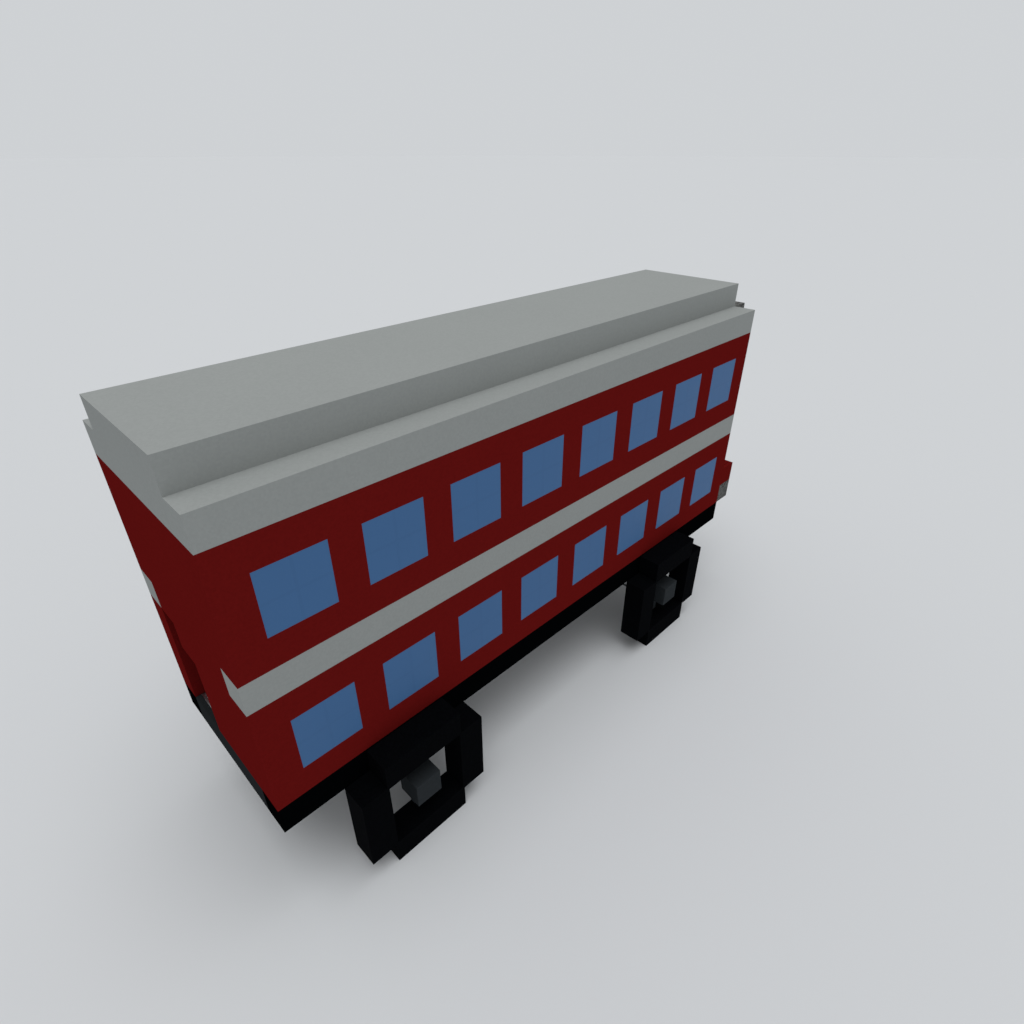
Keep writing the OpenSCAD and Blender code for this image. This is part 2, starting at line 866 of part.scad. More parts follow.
module tyre_front_left() { place_left(x_front_axle) tyre(); }
module tyre_rear_left() { place_left(x_rear_axle) tyre(); }
module tyre_front_right() { mirror([0, 1, 0]) place_left(x_front_axle) tyre(); }
module tyre_rear_right() { mirror([0, 1, 0]) place_left(x_rear_axle) tyre(); }
module hub_front_left() { place_left(x_front_axle) hub(); }
module hub_rear_left() { place_left(x_rear_axle) hub(); }
module hub_front_right() { mirror([0, 1, 0]) place_left(x_front_axle) hub(); }
module hub_rear_right() { mirror([0, 1, 0]) place_left(x_rear_axle) hub(); }

chassis_rails();
floor_bearers();
lower_deck();
skirts();
wheel_boxes();
lower_side_right();
lower_side_left();
waist_band();
upper_side_right();
upper_side_left();
rear_wall_lower();
rear_wall_upper();
front_wall_lower();
front_wall_upper();
upper_deck();
roof_lower_step();
roof_upper_step();
bumper();
bonnet();
bonnet_lid();
destination_box();
headlamps();
lower_windows();
upper_windows();
front_windows();
staircase();
lower_seats();
upper_seats();
driver_seat();
dashboard();
steering_wheel();
platform_pole();
engine();
propeller_shaft();
front_axle();
rear_axle();
leaf_springs();
knuckle_right();
knuckle_left();
guard_right();
guard_left();
track_rod();
tyre_front_right();
tyre_front_left();
tyre_rear_right();
tyre_rear_left();
hub_front_right();
hub_front_left();
hub_rear_right();
hub_rear_left();
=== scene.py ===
import math

import bmesh
import bpy
from mathutils import Matrix, Vector


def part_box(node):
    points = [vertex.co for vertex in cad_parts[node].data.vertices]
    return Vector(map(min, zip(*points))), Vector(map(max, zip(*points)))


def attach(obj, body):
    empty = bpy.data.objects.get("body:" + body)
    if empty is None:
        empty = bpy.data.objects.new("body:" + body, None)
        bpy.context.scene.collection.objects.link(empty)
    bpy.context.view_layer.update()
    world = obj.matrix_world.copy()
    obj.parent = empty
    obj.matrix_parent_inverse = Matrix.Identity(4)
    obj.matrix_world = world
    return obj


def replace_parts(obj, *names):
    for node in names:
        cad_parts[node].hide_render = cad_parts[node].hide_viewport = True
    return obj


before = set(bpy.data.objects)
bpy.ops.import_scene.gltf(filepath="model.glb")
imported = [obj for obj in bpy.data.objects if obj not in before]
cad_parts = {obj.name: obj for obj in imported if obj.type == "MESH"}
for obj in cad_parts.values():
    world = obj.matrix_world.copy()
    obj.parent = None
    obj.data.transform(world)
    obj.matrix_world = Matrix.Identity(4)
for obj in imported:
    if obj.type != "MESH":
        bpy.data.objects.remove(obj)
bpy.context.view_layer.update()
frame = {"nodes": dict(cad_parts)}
nodes = frame["nodes"]

# ---- Camera ----
# Above and behind the right rear corner, looking forwards, down and across to the left.
# A wide lens, held level.
camera_data = bpy.data.cameras.new("camera")
camera_data.lens = 21.4516
camera_data.sensor_width = 36
camera = bpy.data.objects.new("camera", camera_data)
camera_heading = math.radians(45.02)
camera_dip = math.radians(31.21)
camera_at = Vector((-4.709, -4.710, 6.436))
camera_aim = Vector((
    math.sin(camera_heading) * math.cos(camera_dip),
    math.cos(camera_heading) * math.cos(camera_dip),
    -math.sin(camera_dip),
))
camera.matrix_world = Matrix.Translation(camera_at) @ camera_aim.to_track_quat("-Z", "Y").to_matrix().to_4x4()
bpy.context.scene.collection.objects.link(camera)
bpy.context.scene.camera = camera
bpy.context.scene.view_settings.view_transform = "Standard"


# ---- Red panels ----
# Painted steel panels: a dull, even red with a very fine grain of slightly different squares.
# The classes here build this finish and the later ones from shader nodes.
class Wire:
    """A value on its way through a finish. Sums on it add Math nodes."""

    def __init__(self, nodes, socket):
        self.nodes = nodes
        self.socket = socket

    def maths(self, operation, first, second=0.0):
        return self.nodes.node("ShaderNodeMath", {"operation": operation}, {0: first, 1: second})

    def __add__(self, other):
        return self.maths("ADD", self, other)

    def __sub__(self, other):
        return self.maths("SUBTRACT", self, other)

    def __rsub__(self, other):
        return self.maths("SUBTRACT", other, self)

    def __mul__(self, other):
        return self.maths("MULTIPLY", self, other)

    def __lt__(self, other):
        return self.maths("LESS_THAN", self, other)

    def pingpong(self, reach):
        return self.maths("PINGPONG", self, reach)

    def larger(self, other):
        return self.maths("MAXIMUM", self, other)

    __radd__ = __add__
    __rmul__ = __mul__


class Nodes:
    """A node tree, with one way to add a node."""

    def __init__(self, tree):
        self.tree = tree

    def node(self, kind, settings=None, sockets=None, output=0):
        made = self.tree.nodes.new(kind)
        for key, value in (settings or {}).items():
            setattr(made, key, value)
        for key, value in (sockets or {}).items():
            self.feed(made.inputs[key], value)
        return Wire(self, made.outputs[output])

    def feed(self, socket, value):
        if isinstance(value, Wire):
            self.tree.links.new(value.socket, socket)
        else:
            socket.default_value = value

    def blend(self, factor, first, second):
        return self.node("ShaderNodeMix", {"data_type": "RGBA"},
                         {0: factor, 6: (*first, 1.0), 7: (*second, 1.0)}, output=2)


class Finish(Nodes):
    """One material, patterned by place on the bus."""

    def __init__(self, name, specular=0.3, metallic=0.0):
        self.material = bpy.data.materials.new(name)
        self.material.use_nodes = True
        super().__init__(self.material.node_tree)
        self.shader = self.tree.nodes["Principled BSDF"]
        self.set("Specular IOR Level", specular)
        self.set("Metallic", metallic)
        self.place = self.node("ShaderNodeTexCoord", output="Object")

    def set(self, name, value):
        self.feed(self.shader.inputs[name], value)

    def noise(self, scale, detail=2.0):
        return self.node("ShaderNodeTexNoise", None,
                         {"Vector": self.place, "Scale": scale, "Detail": detail, "Roughness": 0.55})

    def squares(self, size):
        """One random value to each small square of a surface."""
        offset = (size * 0.31,) * 3
        moved = self.node("ShaderNodeVectorMath", {"operation": "ADD"}, {0: self.place, 1: offset})
        snapped = self.node("ShaderNodeVectorMath", {"operation": "SNAP"}, {0: moved, 1: (size,) * 3})
        return self.node("ShaderNodeTexWhiteNoise", {"noise_dimensions": "3D"}, {"Vector": snapped})

    def shade(self, color, level):
        return self.node("ShaderNodeVectorMath", {"operation": "SCALE"}, {0: color, "Scale": level})

    def split(self):
        return [self.node("ShaderNodeSeparateXYZ", None, {0: self.place}, output=axis) for axis in "XYZ"]

    def bump(self, height, depth, strength=1.0):
        self.set("Normal", self.node(
            "ShaderNodeBump", None, {"Height": height, "Distance": depth, "Strength": strength}))


def linear(r, g, b):
    """A colour written in the 0 to 255 of a screen, as a shader wants it."""
    def one(v):
        v /= 255
        return v / 12.92 if v <= 0.04045 else ((v + 0.055) / 1.055) ** 2.4
    return (one(r), one(g), one(b))


def coat(finish, *names):
    """Gives CAD nodes their finish."""
    for name in names:
        for place in nodes[name].material_slots:
            place.material = finish.material
        if not nodes[name].material_slots:
            nodes[name].data.materials.append(finish.material)


def coach_paint(name, color, grain, broad, rough, specular=0.0):
    finish = Finish(name, specular)
    speck = finish.squares(0.01875)
    fine = finish.noise(170.0)
    wide = finish.noise(1.1, 3.0)
    level = 1.0 + (speck - 0.5) * grain + (fine - 0.5) * grain + (wide - 0.5) * broad
    finish.set("Base Color", finish.shade(color, level))
    finish.set("Roughness", rough + (fine - 0.5) * 0.12 + (wide - 0.5) * 0.1)
    finish.bump(fine, 0.0006, 0.5)
    return finish


red_paint = coach_paint("red_paint", linear(102, 20, 19), 0.09, 0.06, 0.8)
coat(red_paint, "lower_side_right", "lower_side_left", "upper_side_right", "upper_side_left",
     "rear_wall_lower", "rear_wall_upper", "front_wall_lower", "front_wall_upper", "bonnet_lid")

# ---- Roof and waist band ----
# The two roof steps and the band between the decks: pale grey painted steel, with the same
# fine grain and no gloss.
pale_paint = coach_paint("pale_paint", linear(149, 153, 152), 0.05, 0.05, 0.8)
coat(pale_paint, "roof_lower_step", "roof_upper_step", "waist_band")

# ---- Skirts, guards and chassis ----
# Flat black on the skirts, the wheel boxes and the guards that ride on the knuckles.
# The rails, bearers and axles under them are welded steel in a slightly mottled chassis black.
black_paint = coach_paint("black_paint", linear(3, 4, 5), 0.3, 0.3, 0.85, 0.0)
coat(black_paint, "skirts", "guard_right", "guard_left", "wheel_boxes")
chassis_paint = coach_paint("chassis_paint", linear(24, 25, 27), 0.2, 0.5, 0.6, 0.15)
coat(chassis_paint, "chassis_rails", "floor_bearers", "front_axle", "rear_axle")

# ---- Decks and stairs ----
# Dark grey rubber matting glued to both decks and to the treads, ribbed along the bus. Each
# tread has a bright steel nosing, screwed down along its front edge.
deck_matting = coach_paint("deck_matting", linear(39, 42, 44), 0.1, 0.12, 0.75)
mat_rib = 0.024
mat_y = deck_matting.split()[1]
deck_matting.bump(mat_y.pingpong(mat_rib / 2) * (2 / mat_rib), 0.002, 0.5)
coat(deck_matting, "lower_deck", "upper_deck", "staircase")

brushed = Finish("brushed_steel", 0.5, 1.0)
brushed_grain = brushed.noise(900.0)
brushed.set("Base Color", brushed.shade(linear(186, 188, 190), 0.9 + brushed_grain * 0.2))
brushed.set("Roughness", 0.26 + brushed_grain * 0.2)
brushed.bump(brushed_grain, 0.0003, 0.4)


def new_piece(name, bm, finish, body="bus_body"):
    """A finished bmesh becomes an object at the origin that rides on a body."""
    bmesh.ops.recalc_face_normals(bm, faces=bm.faces)
    mesh = bpy.data.meshes.new(name)
    bm.to_mesh(mesh)
    bm.free()
    piece = bpy.data.objects.new(name, mesh)
    bpy.context.scene.collection.objects.link(piece)
    mesh.materials.append(finish.material)
    mesh.polygons.foreach_set("use_smooth", [True] * len(mesh.polygons))
    mesh.set_sharp_from_angle(angle=math.radians(32))
    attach(piece, body)
    return piece


def block(bm, low, high, edge=0.003, segments=2, along=None):
    """A box with softened edges: all twelve, or the four along one axis."""
    low, high = Vector(low), Vector(high)
    verts = bmesh.ops.create_cube(bm, size=1.0)["verts"]
    bmesh.ops.scale(bm, vec=high - low, verts=verts)
    bmesh.ops.translate(bm, vec=(low + high) / 2, verts=verts)
    edges = list({e for v in verts for e in v.link_edges})
    if along is not None:
        half = (high - low)[along] / 2
        edges = [e for e in edges if abs((e.verts[1].co - e.verts[0].co)[along]) > half]
    bmesh.ops.bevel(bm, geom=edges, offset=edge, offset_type="OFFSET", segments=segments,
                    profile=0.5, affect="EDGES", material=-1)


def rod(bm, start, end, radius, segments=16, end_radius=None):
    """A round bar between two points, or a cone where its ends differ."""
    start, end = Vector(start), Vector(end)
    along = end - start
    turn = along.to_track_quat("Z", "Y").to_matrix().to_4x4()
    bmesh.ops.create_cone(
        bm, cap_ends=True, segments=segments, radius1=radius,
        radius2=radius if end_radius is None else end_radius, depth=along.length,
        matrix=Matrix.Translation((start + end) / 2) @ turn)


stair_low, stair_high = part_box("staircase")
deck_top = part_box("lower_deck")[1].z
upper_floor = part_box("upper_deck")[1].z
step_count = 6
tread = (stair_high.x - stair_low.x) / step_count
rise = (upper_floor - deck_top) / (step_count + 1)
nosing_bm = bmesh.new()
for step in range(1, step_count + 1):
    edge_x = stair_low.x + (step - 1) * tread
    edge_z = deck_top + step * rise
    block(nosing_bm, (edge_x - 0.004, stair_low.y + 0.01, edge_z - 0.022),
          (edge_x + 0.028, stair_high.y - 0.01, edge_z + 0.003), 0.0015)
    for share in range(5):
        screw_y = stair_low.y + 0.06 + share * (stair_high.y - stair_low.y - 0.12) / 4
        screw_x = edge_x + 0.014
        rod(nosing_bm, (screw_x, screw_y, edge_z), (screw_x, screw_y, edge_z + 0.0042), 0.005, 10)
new_piece("stair_nosings", nosing_bm, brushed)

# ---- Platform edging ----
# A studded steel strip on the edge that riders step over, at the kerb and at the tail.
# It lies on the deck, just inside the walls.
pillar_low, pillar_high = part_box("rear_wall_lower")
panel_low, panel_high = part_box("lower_side_left")
wall_thick = panel_high.y - panel_low.y
inner_x = pillar_low.x + wall_thick
inner_y = panel_low.y
side_door = (pillar_high.x, pillar_high.x + 0.6)
rear_door = (0.15, 0.75)
strip_near, strip_far = 0.005, 0.07
strip_mid = (strip_near + strip_far) / 2
strip_top = deck_top + 0.004
edging_bm = bmesh.new()
block(edging_bm, (side_door[0] + 0.01, inner_y - strip_far, deck_top),
      (side_door[1] - 0.01, inner_y - strip_near, strip_top), 0.0015)
block(edging_bm, (inner_x + strip_near, rear_door[0] + 0.01, deck_top),
      (inner_x + strip_far, rear_door[1] - 0.01, strip_top), 0.0015)
for stud in range(12):
    stud_x = side_door[0] + 0.05 + stud * 0.0455
    stud_y = rear_door[0] + 0.05 + stud * 0.0455
    for x, y in ((stud_x, inner_y - strip_mid), (inner_x + strip_mid, stud_y)):
        rod(edging_bm, (x, y, deck_top + 0.003), (x, y, deck_top + 0.0062), 0.008, 12, 0.006)
new_piece("platform_edging", edging_bm, brushed)

# ---- Grab rails and the platform pole ----
# Stainless tubes: the pole by the entrance with its flanges, the sloping stair rail, the rail
# round the open well upstairs, and long rails hung under both ceilings.
coat(brushed, "platform_pole")


def tube(bm, points, radius, bend=0.05, segments=12, steps=5):
    """A tube along straight runs with round bends between them."""
    points = [Vector(p) for p in points]
    route = [points[0]]
    for before, corner, after in zip(points, points[1:], points[2:]):
        start = corner - (corner - before).normalized() * bend
        end = corner + (after - corner).normalized() * bend
        for i in range(steps + 1):
            t = i / steps
            route.append(start.lerp(corner, t).lerp(corner.lerp(end, t), t))
    route.append(points[-1])
    side = (route[1] - route[0]).orthogonal().normalized()
    rings = []
    for i, point in enumerate(route):
        ahead = (route[min(i + 1, len(route) - 1)] - route[max(i - 1, 0)]).normalized()
        side = (side - ahead * side.dot(ahead)).normalized()
        up = ahead.cross(side)
        ring = bmesh.ops.create_circle(
            bm, cap_ends=i in (0, len(route) - 1), segments=segments, radius=radius,
            matrix=Matrix.Translation(point) @ Matrix((side, up, ahead)).transposed().to_4x4())["verts"]
        rings.append([e for e in {e for v in ring for e in v.link_edges}])
    for first, second in zip(rings, rings[1:]):
        bmesh.ops.bridge_loops(bm, edges=first + second)


def flange(bm, foot, out, radius=0.036):
    """A round foot where a rail meets a deck or a ceiling."""
    foot, out = Vector(foot), Vector(out)
    rod(bm, foot + out * 0.0005, foot + out * 0.008, radius, 24)
    rod(bm, foot + out * 0.008, foot + out * 0.024, radius * 0.72, 24, radius * 0.5)


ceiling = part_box("upper_deck")[0].z
roof_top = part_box("roof_upper_step")[1].z
roof_under = roof_top - wall_thick
up, down = Vector((0, 0, 1)), Vector((0, 0, -1))
pole_low, pole_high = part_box("platform_pole")
pole_x, pole_y = (pole_low.x + pole_high.x) / 2, (pole_low.y + pole_high.y) / 2
rail_bm = bmesh.new()
flange(rail_bm, (pole_x, pole_y, pole_low.z), up, 0.045)
flange(rail_bm, (pole_x, pole_y, pole_high.z), down, 0.045)

# the stair rail stands on the treads' open side and turns down to the deck at the head
rail_y = stair_high.y - 0.02
rail_lift = 0.85
rail_start = Vector((stair_low.x + 0.12, rail_y, deck_top + rise))
rail_head = Vector((stair_high.x + 0.045, rail_y, upper_floor + rail_lift))
rail_foot = (rail_head.x, rail_y, upper_floor)
tube(rail_bm, [rail_start, rail_start + up * rail_lift, rail_head, rail_foot], 0.016, 0.1)
flange(rail_bm, rail_start, up)
flange(rail_bm, rail_foot, up)
for step in (3, 5):
    post_x = stair_low.x + (step - 1) * tread + 0.12
    post_foot = Vector((post_x, rail_y, deck_top + step * rise))
    climb = (post_x - rail_start.x) / (rail_head.x - rail_start.x)
    rail_z = rail_start.z + rail_lift + climb * (rail_head.z - rail_start.z - rail_lift)
    rod(rail_bm, post_foot, (post_x, rail_y, rail_z), 0.012)
    flange(rail_bm, post_foot, up)

# the rail round the open sides of the well
well_x0 = stair_high.x - 4.5 * tread - 0.045
well_y = stair_high.y + 0.035
well_x1 = rail_head.x - 0.09
well_middle = (well_x0 + rail_head.x) / 2
well_wall = -0.96
well_rail = upper_floor + 0.9
well_bar = upper_floor + 0.45
tube(rail_bm, [(well_x0, well_wall, upper_floor), (well_x0, well_wall, well_rail),
               (well_x0, well_y, well_rail), (well_x1, well_y, well_rail), (well_x1, well_y, upper_floor)],
     0.016, 0.09)
tube(rail_bm, [(well_x0, well_wall, well_bar), (well_x0, well_y, well_bar), (well_x1, well_y, well_bar)],
     0.012, 0.09)
for foot in ((well_x0, well_wall), (well_x0, well_y), (well_middle, well_y), (well_x1, well_y)):
    flange(rail_bm, (*foot, upper_floor), up)
    if foot[0] > well_x0 or foot[1] > well_wall:
        rod(rail_bm, (*foot, upper_floor), (*foot, well_rail - 0.02), 0.012)

# two long rails under each ceiling, on drop brackets: side, ceiling, rear end, front end
ceiling_rails = (
    (1, ceiling, -2.7, 2.9),
    (-1, ceiling, -1.3, 2.2),
    (1, roof_under, -3.5, 3.3),
    (-1, roof_under, -3.5, 3.3),
)
for rail_side, rail_ceiling, rail_x0, rail_x1 in ceiling_rails:
    y = 0.3 * rail_side
    z = rail_ceiling - 0.14
    tube(rail_bm, [(rail_x0, y, rail_ceiling), (rail_x0, y, z), (rail_x1, y, z),
                   (rail_x1, y, rail_ceiling)], 0.014, 0.06)
    hangers = 4
    for i in range(hangers + 2):
        x = rail_x0 + i * (rail_x1 - rail_x0) / (hangers + 1)
        flange(rail_bm, (x, y, rail_ceiling), down, 0.03)
        if 0 < i <= hangers:
            rod(rail_bm, (x, y, rail_ceiling), (x, y, z), 0.01, 12)
new_piece("grab_rails", rail_bm, brushed)

# upright handles, screwed to the wall beside each doorway
handle_bm = bmesh.new()
handle_places = (
    ((inner_x + 0.005, rear_door[0] - 0.07), Vector((1, 0, 0))),
    ((side_door[1] + 0.05, inner_y - 0.005), Vector((0, -1, 0))),
)
for handle_at, out in handle_places:
    foot = Vector((*handle_at, deck_top + 0.55))
    head = foot + up * 0.6
    tube(handle_bm, [foot, foot + out * 0.06, head + out * 0.06, head], 0.013, 0.03)
    flange(handle_bm, foot, out, 0.026)
    flange(handle_bm, head, out, 0.026)
new_piece("door_handles", handle_bm, brushed)


# ---- Seats ----
# Benches for two: one bent sheet of blue moulded plastic with a rolled front lip and two
# dished places, on steel tube legs with round feet, with a grab rail over the back.
def moulded(name, color, rough):
    finish = Finish(name, 0.3)
    grain = finish.node("ShaderNodeTexVoronoi", None, {"Vector": finish.place, "Scale": 420.0})
    wide = finish.noise(6.0, 3.0)
    finish.set("Base Color", finish.shade(color, 0.93 + wide * 0.14))
    finish.set("Roughness", rough + (wide - 0.5) * 0.2)
    finish.bump(grain, 0.0005, 0.4)
    return finish


seat_blue = moulded("seat_blue", linear(52, 74, 108), 0.45)


def solids_of(node):
    """The boxes of a CAD node's separate solids, each as (lowest, highest) corner."""
    bm = bmesh.new()
    bm.from_mesh(nodes[node].data)
    bmesh.ops.remove_doubles(bm, verts=bm.verts, dist=0.00002)
    waiting = set(bm.verts)
    boxes = []
    while waiting:
        edge_of_group = [waiting.pop()]
        group = list(edge_of_group)
        while edge_of_group:
            vert = edge_of_group.pop()
            found = {e.other_vert(vert) for e in vert.link_edges} & waiting
            waiting -= found
            edge_of_group += found
            group += found
        boxes.append(tuple(Vector([pick(v.co[i] for v in group) for i in range(3)]) for pick in (min, max)))
    bm.free()
    return sorted(boxes, key=lambda corners: tuple(corners[0]))


def seat_shell(bm, low, high, pan_z, places):
    """The bent sheet, from its rolled lip over the pan and the bend to the top of the back."""
    lip, bend, wall = 0.03, 0.09, 0.016
    back_foot = low.x + 0.085
    path = [(high.x - lip + lip * math.cos(math.radians(a)), pan_z - lip + lip * math.sin(math.radians(a)))
            for a in range(-20, 91, 22)]
    path += [(high.x - 0.18, pan_z - 0.004), (back_foot + bend + 0.05, pan_z - 0.004)]
    path += [(back_foot + bend - bend * math.sin(math.radians(a)),
              pan_z + bend - bend * math.cos(math.radians(a))) for a in range(0, 85, 14)]
    path += [(low.x + 0.045, (pan_z + high.z) / 2 + 0.05), (low.x + 0.018, high.z - 0.03),
             (low.x + 0.006, high.z)]
    columns = 6 * places
    step = (high.y - low.y - 0.01) / columns
    row = [bm.verts.new((x, low.y + 0.005, z)) for x, z in path]
    edges = [bm.edges.new(pair) for pair in zip(row, row[1:])]
    sheet = []
    for _ in range(columns):
        grown = bmesh.ops.extrude_edge_only(bm, edges=edges)["geom"]
        sheet += [g for g in grown if isinstance(g, bmesh.types.BMFace)]
        new_verts = [g for g in grown if isinstance(g, bmesh.types.BMVert)]
        edges = [g for g in grown if isinstance(g, bmesh.types.BMEdge)
                 and all(v in new_verts for v in g.verts)]
        bmesh.ops.translate(bm, vec=(0, step, 0), verts=new_verts)
    for vert in {v for face in sheet for v in face.verts}:
        share = (vert.co.y - low.y) / (high.y - low.y) * places
        dish = 0.011 * (1 - math.cos(math.tau * share))
        if vert.co.z < pan_z + 0.02 and low.x + 0.12 < vert.co.x < high.x - 0.1:
            vert.co.z -= dish
        elif pan_z + 0.12 < vert.co.z < high.z - 0.02:
            vert.co.x -= min(dish, vert.co.x - low.x - 0.004)
    bmesh.ops.recalc_face_normals(bm, faces=sheet)
    bmesh.ops.solidify(bm, geom=sheet, thickness=wall)


def benches(name, node, floor, seat_h=0.45):
    shell_bm = bmesh.new()
    frame_bm = bmesh.new()
    for low, high in solids_of(node):
        pan_z = floor + seat_h
        seat_shell(shell_bm, low, high, pan_z, 2)
        under = pan_z - 0.035
        for y in (low.y + 0.09, high.y - 0.09):
            tube(frame_bm, [(low.x + 0.13, y, floor + 0.003), (low.x + 0.15, y, under),
                            (high.x - 0.09, y, under), (high.x - 0.05, y, floor + 0.003)], 0.013, 0.05, 10, 4)
            for foot_x in (low.x + 0.13, high.x - 0.05):
                flange(frame_bm, (foot_x, y, floor), up, 0.028)
        for x in (low.x + 0.2, high.x - 0.14):
            rod(frame_bm, (x, low.y + 0.09, under), (x, high.y - 0.09, under), 0.01, 10)
        rail_x = low.x + 0.025
        tube(frame_bm, [(rail_x, low.y + 0.07, high.z - 0.1), (rail_x, low.y + 0.07, high.z + 0.035),
                        (rail_x, high.y - 0.07, high.z + 0.035), (rail_x, high.y - 0.07, high.z - 0.1)],
             0.011, 0.045, 10, 4)
    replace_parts(new_piece(name + "_shells", shell_bm, seat_blue), node)
    new_piece(name + "_frames", frame_bm, brushed)


benches("lower_bench", "lower_seats", deck_top)
benches("upper_bench", "upper_seats", upper_floor)

# ---- Driver's seat ----
# A single moulded shell in black plastic on a turned steel pedestal, bolted to the right
# wheel box.
cab_black = moulded("cab_black", linear(26, 27, 29), 0.5)
helm_seat_low, helm_seat_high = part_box("driver_seat")
cab_floor = helm_seat_low.z
driver_bm = bmesh.new()
seat_shell(driver_bm, helm_seat_low, helm_seat_high, cab_floor + 0.34, 1)
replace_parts(new_piece("driver_seat_shell", driver_bm, cab_black), "driver_seat")
pedestal_bm = bmesh.new()
pedestal = Vector(((helm_seat_low.x + helm_seat_high.x) / 2 + 0.03,
                   (helm_seat_low.y + helm_seat_high.y) / 2, cab_floor))
rod(pedestal_bm, pedestal + up * 0.0005, pedestal + up * 0.012, 0.13, 40)
rod(pedestal_bm, pedestal + up * 0.012, pedestal + up * 0.06, 0.07, 32, 0.045)
rod(pedestal_bm, pedestal + up * 0.06, pedestal + up * 0.29, 0.038, 32)
rod(pedestal_bm, pedestal + up * 0.26, pedestal + up * 0.31, 0.05, 32, 0.11)
for corner in range(6):
    bolt = pedestal + Matrix.Rotation(math.tau * corner / 6, 3, "Z") @ Vector((0.105, 0, 0.012))
    rod(pedestal_bm, bolt, bolt + up * 0.008, 0.011, 6)
new_piece("driver_pedestal", pedestal_bm, brushed)

# ---- Dashboard and steering wheel ----
# The desk and the wheel are black moulded plastic. A hooded binnacle on the desk holds three
# round dials with pale ticks and a red needle, and a row of push buttons.
coat(cab_black, "dashboard", "steering_wheel")
desk_top = cab_floor + 0.36
desk_front = 3.29
helm_low, helm_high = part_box("steering_wheel")
helm_y = (helm_low.y + helm_high.y) / 2
binnacle_bm = bmesh.new()
block(binnacle_bm, (desk_front + 0.07, helm_y - 0.25, desk_top - 0.004),
      (desk_front + 0.21, helm_y + 0.25, desk_top + 0.105), 0.018, 4)
block(binnacle_bm, (desk_front + 0.02, helm_y - 0.25, desk_top + 0.1),
      (desk_front + 0.17, helm_y + 0.25, desk_top + 0.118), 0.006, 3)
for button in range(5):
    button_y = helm_y + 0.31 + button * 0.034
    block(binnacle_bm, (desk_front + 0.06, button_y, desk_top - 0.002),
          (desk_front + 0.082, button_y + 0.022, desk_top + 0.009), 0.002)
new_piece("binnacle", binnacle_bm, cab_black)
dial_white = coach_paint("dial_white", linear(226, 224, 214), 0.02, 0.02, 0.5, 0.2)
needle_red = coach_paint("needle_red", linear(190, 40, 24), 0.02, 0.02, 0.5, 0.2)
dial_face = desk_front + 0.0695
rim_bm = bmesh.new()
tick_bm = bmesh.new()
needle_bm = bmesh.new()
backwards = Vector((-1, 0, 0))
for dial, (dial_y, dial_r) in enumerate(((-0.155, 0.034), (0.0, 0.044), (0.155, 0.034))):
    centre = Vector((dial_face, helm_y + dial_y, desk_top + 0.052))
    profile = [(dial_r, 0), (dial_r, 0.006), (dial_r * 0.93, 0.0075), (dial_r * 0.9, 0.003),
               (dial_r * 0.9, 0)]
    ring = [rim_bm.verts.new(centre + Vector((-out, r, 0))) for r, out in profile]
    ring_edges = [rim_bm.edges.new(pair) for pair in zip(ring, ring[1:] + ring[:1])]
    bmesh.ops.spin(rim_bm, geom=ring + ring_edges, cent=centre, axis=backwards, angle=math.tau,
                   steps=40, use_merge=True)
    for tick in range(11):
        turn = Matrix.Rotation(math.radians(-130 + 26 * tick), 3, "X")
        start = centre + turn @ Vector((-0.0006, 0, dial_r * 0.86))
        end = centre + turn @ Vector((-0.0006, 0, dial_r * (0.66 if tick % 5 == 0 else 0.74)))
        rod(tick_bm, start, end, 0.0007, 6)
    turn = Matrix.Rotation(math.radians((-120, -128, -40)[dial]), 3, "X")
    rod(needle_bm, centre + Vector((-0.002, 0, 0)),
        centre + turn @ Vector((-0.002, 0, dial_r * 0.72)), 0.0013, 8, 0.0005)
    rod(needle_bm, centre, centre + backwards * 0.004, 0.004, 16)
new_piece("dial_rims", rim_bm, brushed)
new_piece("dial_ticks", tick_bm, dial_white)
new_piece("dial_needles", needle_bm, needle_red)

# ---- Ceiling lamps ----
# Round opal lamps, each in a bright rim, in a row down the middle of both ceilings.
opal = Finish("opal_glass", 0.5)
opal_mottle = opal.noise(40.0)
opal.set("Base Color", opal.shade(linear(236, 233, 222), 0.95 + opal_mottle * 0.08))
opal.set("Roughness", 0.3)
lamp_bm = bmesh.new()
lamp_rim_bm = bmesh.new()
dome = [(0.0, 0.032), (0.03, 0.030), (0.055, 0.023), (0.072, 0.011), (0.078, 0.0)]
for lamp_ceiling, count, lamp_x0 in ((ceiling, 6, -2.85), (roof_under, 7, -3.3)):
    for i in range(count):
        at = Vector((lamp_x0 + i * 1.05, 0, lamp_ceiling))
        profile = [lamp_bm.verts.new(at + Vector((r, 0, -drop))) for r, drop in dome]
        profile_edges = [lamp_bm.edges.new(pair) for pair in zip(profile, profile[1:])]
        bmesh.ops.spin(lamp_bm, geom=profile + profile_edges, cent=at, axis=up, angle=math.tau, steps=28,
                       use_merge=True)
        rod(lamp_rim_bm, at, at - up * 0.008, 0.094, 32, 0.088)
bmesh.ops.remove_doubles(lamp_bm, verts=lamp_bm.verts, dist=0.0001)
bmesh.ops.holes_fill(lamp_bm, edges=[e for e in lamp_bm.edges if e.is_boundary])
new_piece("ceiling_lamps", lamp_bm, opal)
new_piece("ceiling_lamp_rims", lamp_rim_bm, brushed)

